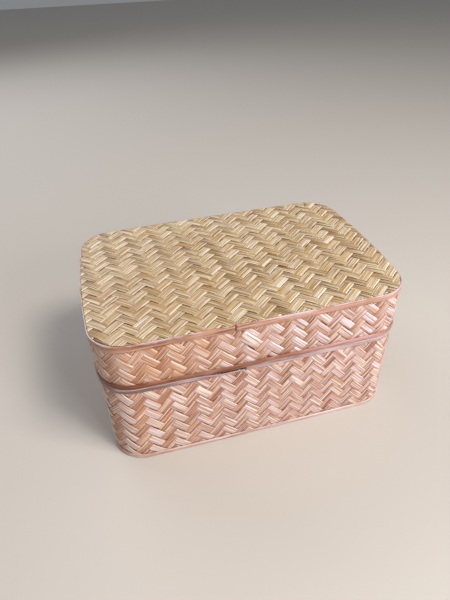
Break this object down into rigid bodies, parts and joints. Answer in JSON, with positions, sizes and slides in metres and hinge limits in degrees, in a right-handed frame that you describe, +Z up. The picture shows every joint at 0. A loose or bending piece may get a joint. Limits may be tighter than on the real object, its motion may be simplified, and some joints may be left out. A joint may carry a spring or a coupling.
{
  "type": "tea caddy",
  "caption": "Rectangular box with rounded corners and a lift-off lid, in twill-woven split bamboo over bent wood, for keeping tea and tea ware.",
  "frame": {"origin": "centre of the footprint, on the surface the box stands on", "axes": "+X along the long side, -Y the front, +Z up and the way the lid lifts off"},
  "size_m": [0.18, 0.122, 0.088],
  "materials": {
    "mat_straw": "satin straw-coloured split bamboo, woven",
    "mat_rose": "satin pinkish split bamboo, woven",
    "hoop_copper": "satin copper-brown split bamboo",
    "hoop_pale": "satin pale split bamboo",
    "bent_wood": "fine-sanded pale bent wood",
    "board": "fine-sanded straight-grained wood"
  },
  "bodies": {
    "base": {"base_floor_mat": "mat_straw", "base_floor_board": "board", "base_wall_core": "bent_wood", "base_wall_mat": "mat_rose", "base_rim_hoop": "hoop_pale", "base_foot_hoop": "hoop_pale", "inner_collar": "bent_wood"},
    "lid": {"lid_top_mat": "mat_straw", "lid_top_board": "board", "lid_inner_strip": "hoop_pale", "lid_wall_core": "bent_wood", "lid_wall_mat": "mat_rose", "lid_top_hoop": "hoop_copper", "lid_mouth_hoop": "hoop_copper"}
  },
  "joints": [
    {"name": "lid_lift", "type": "slide", "parent": "base", "child": "lid", "axis": [0, 0, 1], "range_m": [0, 0.09]}
  ]
}
